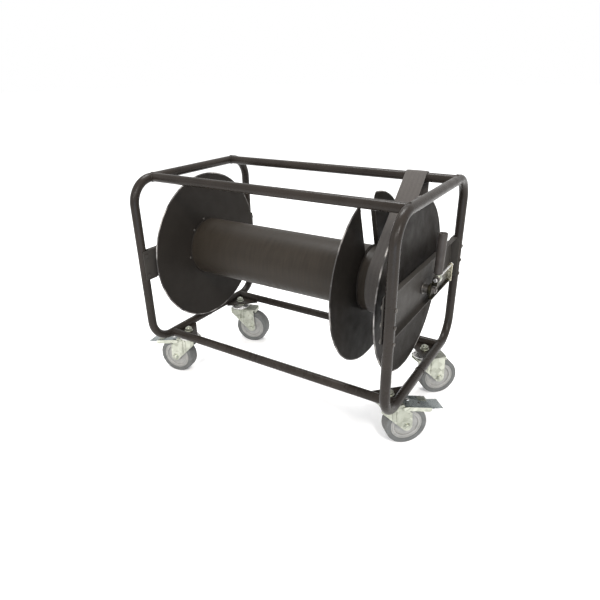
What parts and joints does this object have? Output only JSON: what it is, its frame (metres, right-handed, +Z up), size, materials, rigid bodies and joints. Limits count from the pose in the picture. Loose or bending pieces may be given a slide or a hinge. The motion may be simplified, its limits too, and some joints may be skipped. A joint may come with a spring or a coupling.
{
  "type": "garden hose reel cart",
  "caption": "Tube-framed cart on swivel casters with a horizontal hose drum, a slotted partition, a folding crank grip and a webbing strap.",
  "frame": {"origin": "middle of the bounding box, on the floor that the wheels stand on", "axes": "+X along the drum's axle towards the crank, +Y towards the back, +Z up"},
  "size_m": [0.8436, 0.458, 0.5813],
  "materials": {
    "frame_paint": "semi-gloss brown-black powder coat on tube",
    "drum_paint": "satin brown-black paint on sheet steel, rubbed on the core",
    "zinc_plate": "bright zinc plating",
    "yellow_zinc": "yellow passivated zinc plating",
    "bright_steel": "turned steel",
    "tyre_rubber": "grey non-marking rubber",
    "hub_plastic": "light grey moulded plastic with concentric rings",
    "grip_plastic": "dark moulded plastic",
    "webbing": "grey-brown woven webbing"
  },
  "bodies": {
    "frame": {"left_end_loop": "frame_paint", "right_end_loop": "frame_paint", "front_top_rail": "frame_paint", "back_top_rail": "frame_paint", "front_bottom_rail": "frame_paint", "back_bottom_rail": "frame_paint", "left_crossbar": "frame_paint", "right_crossbar": "frame_paint", "left_axle_bearing": "bright_steel", "right_axle_bearing": "bright_steel", "hold_strap": "webbing", "front_left_gusset": "frame_paint", "front_left_caster_top": "zinc_plate", "front_left_stem_nut": "zinc_plate", "front_right_gusset": "frame_paint", "front_right_caster_top": "zinc_plate", "front_right_stem_nut": "zinc_plate", "back_left_gusset": "frame_paint", "back_left_caster_top": "zinc_plate", "back_left_stem_nut": "zinc_plate", "back_right_gusset": "frame_paint", "back_right_caster_top": "zinc_plate", "back_right_stem_nut": "zinc_plate"},
    "drum": {"drum_axle": "bright_steel", "drum_core": "drum_paint", "left_flange": "drum_paint", "right_flange": "drum_paint", "slotted_partition": "drum_paint", "left_core_plug": "drum_paint", "right_core_plug": "drum_paint", "left_axle_collar": "bright_steel", "right_axle_collar": "bright_steel", "crank_arm": "yellow_zinc", "crank_nut": "yellow_zinc", "crank_slide_rod": "yellow_zinc", "slide_rod_nut": "yellow_zinc"},
    "carriage": {"grip_carriage": "zinc_plate"},
    "knuckle": {"grip_knuckle": "zinc_plate"},
    "grip": {"crank_grip": "grip_plastic"},
    "front_left_swivel": {"front_left_fork": "zinc_plate", "front_left_wheel_bolt": "bright_steel"},
    "front_left_wheel": {"front_left_wheel_hub": "hub_plastic", "front_left_tyre": "tyre_rubber"},
    "front_left_pedal": {"front_left_brake_pedal": "zinc_plate"},
    "front_right_swivel": {"front_right_fork": "zinc_plate", "front_right_wheel_bolt": "bright_steel"},
    "front_right_wheel": {"front_right_wheel_hub": "hub_plastic", "front_right_tyre": "tyre_rubber"},
    "front_right_pedal": {"front_right_brake_pedal": "zinc_plate"},
    "back_left_swivel": {"back_left_fork": "zinc_plate", "back_left_wheel_bolt": "bright_steel"},
    "back_left_wheel": {"back_left_wheel_hub": "hub_plastic", "back_left_tyre": "tyre_rubber"},
    "back_right_swivel": {"back_right_fork": "zinc_plate", "back_right_wheel_bolt": "bright_steel"},
    "back_right_wheel": {"back_right_wheel_hub": "hub_plastic", "back_right_tyre": "tyre_rubber"}
  },
  "joints": [
    {"name": "drum_spin", "type": "hinge", "parent": "frame", "child": "drum", "pos_m": [0.01218, 0, 0.352], "axis": [1, 0, 0], "continuous": true},
    {"name": "grip_slide", "type": "slide", "parent": "drum", "child": "carriage", "axis": [0, 1, 0], "range_m": [0, 0.087]},
    {"name": "grip_fold", "type": "hinge", "parent": "carriage", "child": "knuckle", "pos_m": [0.36068, 0.015, 0.375], "axis": [0, 1, 0], "range_deg": [0, 84]},
    {"name": "grip_spin", "type": "hinge", "parent": "knuckle", "child": "grip", "pos_m": [0.36068, 0.015, 0.375], "axis": [0.0262, 0, 0.9997], "continuous": true},
    {"name": "front_left_swivel_turn", "type": "hinge", "parent": "frame", "child": "front_left_swivel", "pos_m": [-0.29282, -0.118, 0.11], "axis": [0, 0, 1], "continuous": true},
    {"name": "front_left_wheel_spin", "type": "hinge", "parent": "front_left_swivel", "child": "front_left_wheel", "pos_m": [-0.33292, -0.12652, 0.05], "axis": [0.2079, -0.9781, 0], "continuous": true},
    {"name": "front_left_pedal_lift", "type": "hinge", "parent": "front_left_swivel", "child": "front_left_pedal", "pos_m": [-0.31434, -0.12257, 0.1055], "axis": [-0.2079, 0.9781, 0], "range_deg": [0, 10]},
    {"name": "front_right_swivel_turn", "type": "hinge", "parent": "frame", "child": "front_right_swivel", "pos_m": [0.31718, -0.118, 0.11], "axis": [0, 0, 1], "continuous": true},
    {"name": "front_right_wheel_spin", "type": "hinge", "parent": "front_right_swivel", "child": "front_right_wheel", "pos_m": [0.34668, -0.08952, 0.05], "axis": [-0.6947, 0.7193, 0], "continuous": true},
    {"name": "front_right_pedal_lift", "type": "hinge", "parent": "front_right_swivel", "child": "front_right_pedal", "pos_m": [0.33301, -0.10272, 0.1055], "axis": [0.6947, -0.7193, 0], "range_deg": [0, 10]},
    {"name": "back_left_swivel_turn", "type": "hinge", "parent": "frame", "child": "back_left_swivel", "pos_m": [-0.29282, 0.118, 0.11], "axis": [0, 0, 1], "continuous": true},
    {"name": "back_left_wheel_spin", "type": "hinge", "parent": "back_left_swivel", "child": "back_left_wheel", "pos_m": [-0.25361, 0.12999, 0.05], "axis": [-0.2924, 0.9563, 0], "continuous": true},
    {"name": "back_right_swivel_turn", "type": "hinge", "parent": "frame", "child": "back_right_swivel", "pos_m": [0.31718, 0.118, 0.11], "axis": [0, 0, 1], "continuous": true},
    {"name": "back_right_wheel_spin", "type": "hinge", "parent": "back_right_swivel", "child": "back_right_wheel", "pos_m": [0.34668, 0.14648, 0.05], "axis": [-0.6947, 0.7193, 0], "continuous": true}
  ]
}
